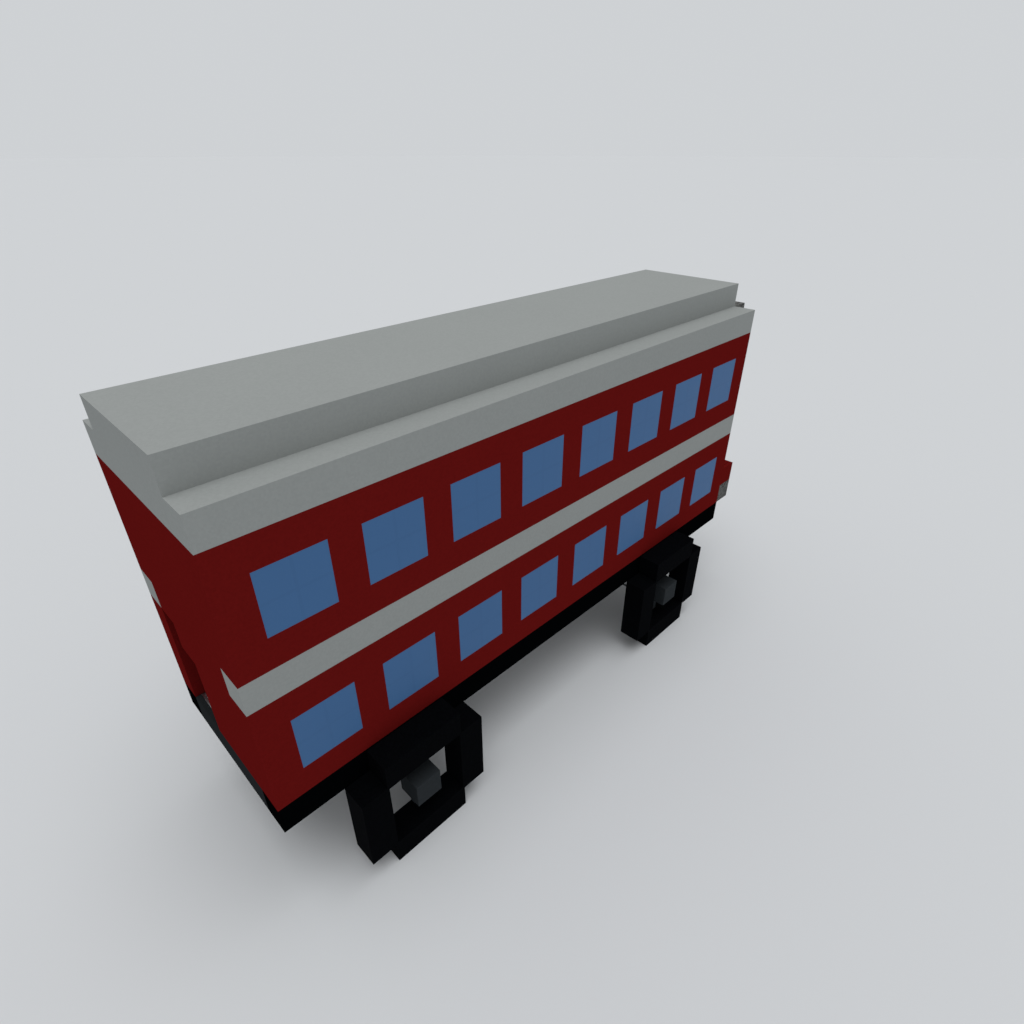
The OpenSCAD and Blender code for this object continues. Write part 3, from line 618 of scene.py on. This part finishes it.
# ---- Bumper and destination box ----
# A speckled grey facing: small squares of many greys, some of them much darker. The bumper
# and the box over the upper front windows both wear it.
stone = Finish("stone_facing", 0.1)
stone_square = stone.squares(0.01875)
stone_patch = stone.noise(16.0, 3.0)
stone_mix = stone_square * 0.8 + stone_patch * 0.7 - 0.28
stone.set("Base Color", stone.blend(stone_mix, linear(24, 25, 25), linear(122, 123, 121)))
stone.set("Roughness", 0.8 + (stone_square - 0.5) * 0.2)
stone.bump(stone_square, 0.001, 0.6)
coat(stone, "bumper", "destination_box")

# ---- Glazing ----
# Flat blue-tinted panes, flush with the panels. Faint darker lines cross each side pane.
glass = Finish("window_glass", 0.12)
glass_x, _, glass_z = glass.split()
glass_line = (glass_x.pingpong(0.15) < 0.014).larger(glass_z.pingpong(0.15) < 0.014)
glass_wide = glass.noise(2.0)
glass_level = 1.0 - glass_line * 0.03 + (glass_wide - 0.5) * 0.04
glass.set("Base Color", glass.shade(linear(66, 105, 151), glass_level))
glass.set("Roughness", 0.45 + (glass_wide - 0.5) * 0.1)
coat(glass, "lower_windows", "upper_windows", "front_windows")

# black rubber strips seal the four front panes, two to each deck
rubber = coach_paint("rubber", linear(14, 14, 15), 0.1, 0.2, 0.7, 0.15)


def seal(bm, x, low, high, width, depth):
    """A raised rectangular strip round an opening in a wall that faces forwards."""
    around = [bm.verts.new((x, y, z)) for y, z in
              ((low[0], low[1]), (high[0], low[1]), (high[0], high[1]), (low[0], high[1]))]
    middle = bm.faces.new(around)
    middle.normal_update()
    rim = bmesh.ops.inset_region(bm, faces=[middle], thickness=width, use_boundary=True,
                                 use_even_offset=True)["faces"]
    bmesh.ops.delete(bm, geom=[middle], context="FACES_ONLY")
    grown = bmesh.ops.extrude_face_region(bm, geom=rim)["geom"]
    raised = [g for g in grown if isinstance(g, bmesh.types.BMVert)]
    bmesh.ops.translate(bm, vec=(depth, 0, 0), verts=raised)
    bm.normal_update()
    top = [e for e in {e for v in raised for e in v.link_edges} if all(v in raised for v in e.verts)]
    edges = [e for e in top if e.calc_face_angle() > 1.0]
    bmesh.ops.bevel(bm, geom=edges, offset=depth * 0.35, offset_type="OFFSET", segments=2, profile=0.5,
                    affect="EDGES", material=-1)


front_panes = solids_of("front_windows")
wall_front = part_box("front_wall_lower")[1].x
seal_bm = bmesh.new()
for low, high in front_panes:
    seal(seal_bm, wall_front, (low.y - 0.022, low.z - 0.022), (high.y + 0.022, high.z + 0.022), 0.03, 0.009)
new_piece("screen_rubbers", seal_bm, rubber)

# ---- Wipers ----
# One wiper to each windscreen pane, hung from over it clear of the bonnet lid: a bright arm
# on a turned spindle, with a rubber blade.
arm_bm = bmesh.new()
blade_bm = bmesh.new()
screens = [pane for pane in front_panes if pane[0].z < upper_floor]
for low, high in screens:
    spindle = Vector((wall_front, (low.y + high.y) / 2 + 0.16, high.z + 0.045))
    tip = spindle + Vector((0.02, -0.2, -0.27))
    rod(arm_bm, spindle, spindle + Vector((0.026, 0, 0)), 0.016, 20, 0.011)
    elbow = spindle + Vector((0.028, -0.02, -0.05))
    tube(arm_bm, [spindle + Vector((0.02, 0, 0)), elbow, tip], 0.0045, 0.015, 8, 3)
    blade = Vector((0, 0.35, -0.94)).normalized()
    blade_at = tip + Vector((-0.009, 0, 0))
    rod(blade_bm, blade_at - blade * 0.2, blade_at + blade * 0.2, 0.0055, 8)
    clip_at = tip + Vector((-0.003, 0, 0))
    rod(arm_bm, clip_at - blade * 0.12, clip_at + blade * 0.12, 0.004, 8)
new_piece("wiper_arms", arm_bm, brushed)
new_piece("wiper_blades", blade_bm, rubber)

# ---- Front lamps ----
# Round headlamps let into the bumper: a bright bowl and bulb behind a domed glass, in a
# turned rim. Amber turn lamps sit on the wall beside the windscreen.
chrome = Finish("chrome", 0.5, 1.0)
chrome_haze = chrome.noise(30.0)
chrome.set("Base Color", chrome.shade(linear(226, 228, 230), 0.95 + chrome_haze * 0.08))
chrome.set("Roughness", 0.08 + chrome_haze * 0.08)
lens_glass = Finish("lens_glass", 0.5)
lens_y = lens_glass.split()[1]
lens_glass.set("Base Color", lens_glass.shade(linear(240, 242, 240), 0.98 + lens_glass.noise(60.0) * 0.03))
lens_glass.set("Roughness", 0.05)
lens_glass.set("Transmission Weight", 1.0)
lens_glass.bump(lens_y.pingpong(0.006) * 160.0, 0.001, 0.35)


def turned(bm, centre, axis, profile, steps=48, closed=False):
    """A lathe shape: (radius, distance along the axis) pairs spun round it."""
    centre, axis = Vector(centre), Vector(axis)
    side = axis.orthogonal().normalized()
    verts = [bm.verts.new(centre + side * r + axis * along) for r, along in profile]
    pairs = list(zip(verts, verts[1:])) + ([(verts[-1], verts[0])] if closed else [])
    edges = [bm.edges.new(pair) for pair in pairs]
    bmesh.ops.spin(bm, geom=verts + edges, cent=centre, axis=axis, angle=math.tau, steps=steps,
                   use_merge=True)


nose_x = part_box("bumper")[1].x
ahead = Vector((1, 0, 0))
bowl_bm, lens_bm, bulb_bm = bmesh.new(), bmesh.new(), bmesh.new()
for low, high in solids_of("headlamps"):
    at = Vector((nose_x, (low.y + high.y) / 2, (low.z + high.z) / 2))
    r = (high.y - low.y) / 2
    bowl = [(r * 0.99, -0.001), (r * 0.99, -0.059), (0.0, -0.059)]
    inner = [(0.0, -0.054), (r * 0.22, -0.053), (r * 0.5, -0.044), (r * 0.74, -0.028), (r * 0.88, -0.010),
             (r * 0.93, -0.0008)]
    turned(bowl_bm, at, ahead, bowl + inner, closed=True)
    turned(lens_bm, at, ahead, [(0.0, -0.004), (r * 0.4, -0.0055), (r * 0.7, -0.009), (r * 0.89, -0.014),
                                (r * 0.89, -0.018), (r * 0.6, -0.013), (0.0, -0.009)])
    turned(bulb_bm, at, ahead, [(0.0, -0.022), (0.008, -0.024), (0.012, -0.031), (0.010, -0.042),
                                (0.014, -0.053)], 20)
for lathe in (bowl_bm, lens_bm, bulb_bm):
    bmesh.ops.remove_doubles(lathe, verts=lathe.verts, dist=0.00005)
bmesh.ops.holes_fill(bulb_bm, edges=[e for e in bulb_bm.edges if e.is_boundary])
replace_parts(new_piece("headlamp_bowls", bowl_bm, chrome), "headlamps")
new_piece("headlamp_lenses", lens_bm, lens_glass)
new_piece("headlamp_bulbs", bulb_bm, opal)

amber = Finish("amber_lens", 0.5)
amber_z = amber.split()[2]
amber.set("Base Color", amber.shade(linear(232, 128, 20), 0.9 + amber.noise(50.0) * 0.15))
amber.set("Roughness", 0.2)
amber.bump(amber_z.pingpong(0.004) * 240.0, 0.0008, 0.4)
amber_bm, amber_rim_bm = bmesh.new(), bmesh.new()
for side in (-1, 1):
    at = (wall_front, 0.94 * side, screens[0][0].z + 0.06)
    turned(amber_bm, at, ahead, [(0.0, 0.024), (0.02, 0.022), (0.034, 0.013), (0.036, 0.0), (0.0, 0.0)], 32)
    turned(amber_rim_bm, at, ahead, [(0.046, 0.0), (0.046, 0.005), (0.040, 0.009), (0.0362, 0.007),
                                     (0.0362, 0.0)], 32, closed=True)
bmesh.ops.remove_doubles(amber_bm, verts=amber_bm.verts, dist=0.00005)
new_piece("turn_lamps", amber_bm, amber)
new_piece("turn_lamp_rims", amber_rim_bm, chrome)

# ---- Number plate ----
# A blank pale plate in a black frame, bolted to the skirt under the nose.
skirt_low, skirt_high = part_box("skirts")
plate_bm, plate_frame_bm = bmesh.new(), bmesh.new()
plate_z = (skirt_low.z + skirt_high.z) / 2
block(plate_bm, (skirt_high.x, -0.26, plate_z - 0.056), (skirt_high.x + 0.006, 0.26, plate_z + 0.056), 0.0015)
seal(plate_frame_bm, skirt_high.x, (-0.272, plate_z - 0.068), (0.272, plate_z + 0.068), 0.0125, 0.008)
for side in (-1, 1):
    bolt_y = 0.2 * side
    rod(plate_frame_bm, (skirt_high.x + 0.005, bolt_y, plate_z), (skirt_high.x + 0.009, bolt_y, plate_z),
        0.007, 16)
plate_white = coach_paint("plate_white", linear(214, 213, 205), 0.03, 0.03, 0.4, 0.3)
new_piece("number_plate", plate_bm, plate_white)
new_piece("number_plate_frame", plate_frame_bm, rubber)

# ---- Bonnet ----
# The red nose above the bumper. A grille of level slots is sunk into its front face between
# two flat margins. The shell itself keeps the shape of the CAD node.
bonnet_low, bonnet_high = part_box("bonnet")
bonnet_bm = bmesh.new()
bonnet_bm.from_mesh(nodes["bonnet"].data)
bmesh.ops.remove_doubles(bonnet_bm, verts=bonnet_bm.verts, dist=0.00002)
bmesh.ops.dissolve_limit(bonnet_bm, angle_limit=math.radians(0.5), verts=bonnet_bm.verts,
                         edges=bonnet_bm.edges)
slot_half_w = 0.42
slot_h, slot_pitch, slot_count = 0.014, 0.030, 6
slot_z0 = bonnet_low.z + 0.045
slot_zs = [slot_z0 + i * slot_pitch for i in range(slot_count)]


def front_faces():
    return [f for f in bonnet_bm.faces
            if f.normal.x > 0.9 and f.calc_center_median().x > bonnet_high.x - 0.001]


cuts = [((0, y, 0), (0, 1, 0)) for y in (-slot_half_w, slot_half_w)]
cuts += [((0, 0, z), (0, 0, 1)) for low in slot_zs for z in (low, low + slot_h)]
for cut_at, cut_normal in cuts:
    front = front_faces()
    geom = front + list({e for f in front for e in f.edges}) + list({v for f in front for v in f.verts})
    bmesh.ops.bisect_plane(bonnet_bm, geom=geom, dist=0.00001, plane_co=cut_at, plane_no=cut_normal)
slots = [f for f in front_faces()
         if abs(f.calc_center_median().y) < slot_half_w
         and any(low < f.calc_center_median().z < low + slot_h for low in slot_zs)]
recess = bmesh.ops.extrude_discrete_faces(bonnet_bm, faces=slots)["faces"]
bmesh.ops.translate(bonnet_bm, vec=(-0.022, 0, 0), verts=list({v for f in recess for v in f.verts}))
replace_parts(new_piece("bonnet_shell", bonnet_bm, red_paint), "bonnet")

# a black strip lies at the back of each slot, with a slim bright bar in front of it
bar_bm = bmesh.new()
backing_bm = bmesh.new()
for low in slot_zs:
    block(backing_bm, (bonnet_high.x - 0.0218, -slot_half_w + 0.001, low + 0.0005),
          (bonnet_high.x - 0.018, slot_half_w - 0.001, low + slot_h - 0.0005), 0.0008)
    rod(bar_bm, (bonnet_high.x - 0.010, -slot_half_w + 0.001, low + slot_h / 2),
        (bonnet_high.x - 0.010, slot_half_w - 0.001, low + slot_h / 2), 0.0035, 10)
new_piece("grille_backing", backing_bm, black_paint)
new_piece("grille_bars", bar_bm, chrome)
lid_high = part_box("bonnet_lid")[1]
lid_bm = bmesh.new()
for side in (-1, 1):
    catch = Vector((lid_high.x - 0.10, 0.62 * side, lid_high.z))
    tube(lid_bm, [catch + Vector((0, -0.06, -0.001)), catch + Vector((0, -0.06, 0.022)),
                  catch + Vector((0, 0.06, 0.022)), catch + Vector((0, 0.06, -0.001))], 0.006, 0.015, 10, 4)
    flange(lid_bm, catch + Vector((0, -0.06, 0)), up, 0.014)
    flange(lid_bm, catch + Vector((0, 0.06, 0)), up, 0.014)
new_piece("lid_handles", lid_bm, chrome, "bonnet_lid")

# ---- Destination blind ----
# A blank white blind behind a black surround, let into the front of the box over the windows.
dest_low, dest_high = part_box("destination_box")
blind_bm = bmesh.new()
blind_bm.from_mesh(nodes["destination_box"].data)
bmesh.ops.remove_doubles(blind_bm, verts=blind_bm.verts, dist=0.00002)
bmesh.ops.dissolve_limit(blind_bm, angle_limit=math.radians(0.5), verts=blind_bm.verts,
                         edges=blind_bm.edges)
face = [f for f in blind_bm.faces if f.normal.x > 0.9]
bmesh.ops.inset_region(blind_bm, faces=face, thickness=0.05, use_even_offset=True)
opening = bmesh.ops.extrude_discrete_faces(blind_bm, faces=face)["faces"]
bmesh.ops.translate(blind_bm, vec=(-0.03, 0, 0), verts=list({v for f in opening for v in f.verts}))
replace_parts(new_piece("destination_case", blind_bm, stone), "destination_box")
sheet_bm, surround_bm = bmesh.new(), bmesh.new()
block(sheet_bm, (dest_high.x - 0.029, dest_low.y + 0.09, dest_low.z + 0.09),
      (dest_high.x - 0.020, dest_high.y - 0.09, dest_high.z - 0.09), 0.002)
seal(surround_bm, dest_high.x - 0.0295, (dest_low.y + 0.052, dest_low.z + 0.052),
     (dest_high.y - 0.052, dest_high.z - 0.052), 0.045, 0.014)
new_piece("destination_blind", sheet_bm, dial_white)
new_piece("destination_surround", surround_bm, rubber)


# ---- Engine and drive line ----
# Cast iron, painted grey and oily: the block gets side ribs and a bolted sump with a drain
# plug. The exhaust runs back beside the propeller shaft to a silencer and a tail pipe.
def casting(name, color, rough):
    finish = Finish(name, 0.35, 0.3)
    grain = finish.noise(260.0, 4.0)
    oil = finish.noise(5.0, 4.0)
    finish.set("Base Color", finish.shade(color, 0.65 + oil * 0.6 + (grain - 0.5) * 0.15))
    finish.set("Roughness", rough + (oil - 0.5) * 0.4)
    finish.bump(grain, 0.0012, 0.6)
    return finish


cast_grey = casting("cast_grey", linear(96, 99, 103), 0.55)
coat(cast_grey, "engine", "propeller_shaft", "knuckle_right", "knuckle_left", "track_rod")
engine_low, engine_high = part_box("engine")
block_half = 0.31
sump_bm = bmesh.new()
for rib in range(9):
    x = engine_low.x + 0.08 + rib * 0.1
    for side in (-1, 1):
        block(sump_bm, (x, side * block_half - 0.002, engine_low.z + 0.05),
              (x + 0.018, side * block_half + side * 0.016, engine_low.z + 0.36), 0.003)
block(sump_bm, (engine_low.x + 0.06, -0.24, engine_low.z - 0.03),
      (engine_high.x - 0.1, 0.24, engine_low.z + 0.002), 0.014, 3)
for bolt in range(8):
    x = engine_low.x + 0.12 + bolt * 0.105
    for side in (-1, 1):
        y = 0.265 * side
        rod(sump_bm, (x, y, engine_low.z - 0.007), (x, y, engine_low.z + 0.001), 0.011, 6)
drain_x = engine_low.x + 0.3
rod(sump_bm, (drain_x, 0, engine_low.z - 0.045), (drain_x, 0, engine_low.z - 0.029), 0.02, 6)
new_piece("engine_sump", sump_bm, cast_grey)

worn_steel = casting("worn_steel", linear(88, 82, 76), 0.6)
exhaust_bm = bmesh.new()
pipe_y, pipe_z = 0.25, 1.145
silencer_x = -0.5
tube(exhaust_bm, [(engine_low.x + 0.02, pipe_y, 1.0), (engine_low.x - 0.12, pipe_y, 1.0),
                  (engine_low.x - 0.3, pipe_y, pipe_z), (0.45, pipe_y, pipe_z)], 0.03, 0.07, 16)
turned(exhaust_bm, (silencer_x, pipe_y, pipe_z), ahead,
       [(0.0, 0.0), (0.03, 0.0), (0.07, 0.03), (0.07, 0.92), (0.03, 0.95), (0.0, 0.95)], 32)
tube(exhaust_bm, [(silencer_x, pipe_y, pipe_z), (-3.45, pipe_y, pipe_z), (-3.62, pipe_y, pipe_z - 0.05)],
     0.027, 0.05, 16)
bmesh.ops.remove_doubles(exhaust_bm, verts=exhaust_bm.verts, dist=0.00005)
for x in (0.15, -0.25, -1.4, -3.2):
    rod(exhaust_bm, (x, pipe_y + 0.02, pipe_z + 0.02), (x, 0.37, 1.25), 0.006, 8)
new_piece("exhaust", exhaust_bm, worn_steel)

# the fuel tank hangs beside the right rail on two strapped brackets
tank_bm, strap_bm = bmesh.new(), bmesh.new()
tank_low, tank_high = Vector((-0.9, -0.86, 1.13)), Vector((0.35, -0.47, 1.395))
block(tank_bm, tank_low, tank_high, 0.045, 5)
rod(tank_bm, (0.2, -0.85, 1.3), (0.2, -0.9, 1.33), 0.032, 24)
strap_wide, strap_thick = 0.05, 0.006
for x in (-0.65, 0.05):
    block(strap_bm, (x, tank_low.y - strap_thick, tank_low.z - strap_thick),
          (x + strap_wide, tank_high.y + strap_thick, tank_high.z + strap_thick), 0.048, 5, 0)
    block(strap_bm, (x, tank_high.y, 1.35), (x + strap_wide, tank_high.y + 0.04, 1.40), 0.004)
new_piece("fuel_tank", tank_bm, chassis_paint)
new_piece("tank_straps", strap_bm, worn_steel)

# ---- Springs and axle clamps ----
# Spring steel packs in chassis black. Each is held to its axle by two U-bolts through a plate
# under the axle, with a nut on each leg.
spring_black = casting("spring_black", linear(40, 40, 42), 0.5)
coat(spring_black, "leaf_springs")
clamp_bm = bmesh.new()
spring_half_w = 0.035
spring_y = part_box("leaf_springs")[1].y - spring_half_w
leg_reach = 0.048
for tyre, drop in (("tyre_front_left", 0.062), ("tyre_rear_left", 0.085)):
    tyre_low, tyre_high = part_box(tyre)
    axle = (tyre_low + tyre_high) / 2
    under, over = axle.z - drop, axle.z + 0.115
    for side in (-1, 1):
        y = spring_y * side
        near, far = y - leg_reach, y + leg_reach
        block(clamp_bm, (axle.x - 0.09, y - 0.062, under - 0.016), (axle.x + 0.09, y + 0.062, under), 0.004)
        for x in (axle.x - 0.066, axle.x + 0.066):
            tube(clamp_bm, [(x, near, under - 0.045), (x, near, over), (x, far, over),
                            (x, far, under - 0.045)], 0.009, 0.022, 10, 4)
            for leg in (near, far):
                rod(clamp_bm, (x, leg, under - 0.034), (x, leg, under - 0.016), 0.016, 6)
new_piece("spring_clamps", clamp_bm, worn_steel)

# ---- Wheels ----
# Plain black tyres in square-stepped rings, each carried by one flat bar to a dark grey hub.
# The rubber is dull and faintly mottled.
tyre_black = coach_paint("tyre_black", linear(5, 6, 8), 0.4, 0.4, 0.85, 0.01)
coat(tyre_black, *(n for n in nodes if n.startswith("tyre_")))
hub_grey = coach_paint("hub_grey", linear(43, 47, 50), 0.12, 0.1, 0.75, 0.03)
coat(hub_grey, *(n for n in nodes if n.startswith("hub_")))

# ---- Studio ----
# A plain pale floor, an even pale surround and one wide soft lamp overhead.
floor_bm = bmesh.new()
bmesh.ops.create_circle(floor_bm, cap_ends=True, segments=96, radius=400.0)
floor_mesh = bpy.data.meshes.new("floor")
floor_bm.to_mesh(floor_mesh)
floor_bm.free()
floor = bpy.data.objects.new("floor", floor_mesh)
bpy.context.scene.collection.objects.link(floor)
floor_finish = Finish("studio_floor", 0.1)
floor_finish.set("Base Color", (0.62, 0.64, 0.66, 1.0))
floor_finish.set("Roughness", 0.95)
floor_mesh.materials.append(floor_finish.material)

softbox_data = bpy.data.lights.new("softbox", "SUN")
softbox_data.energy = 1.45
softbox_data.angle = math.radians(50)
softbox = bpy.data.objects.new("softbox", softbox_data)
softbox.matrix_world = Vector((0.06, 0.14, -1.0)).to_track_quat("-Z", "Y").to_matrix().to_4x4()
bpy.context.scene.collection.objects.link(softbox)

# the surround lights at an even grey, and shows pale to the camera and in bright metal
world = bpy.data.worlds.new("surround")
bpy.context.scene.world = world
world.use_nodes = True
sky = Nodes(world.node_tree)
seen = sky.node("ShaderNodeLightPath", output="Is Camera Ray").larger(
    sky.node("ShaderNodeLightPath", output="Is Glossy Ray"))
sky.feed(world.node_tree.nodes["Background"].inputs["Color"],
         sky.blend(seen, (0.55, 0.55, 0.55), (0.62, 0.64, 0.66)))
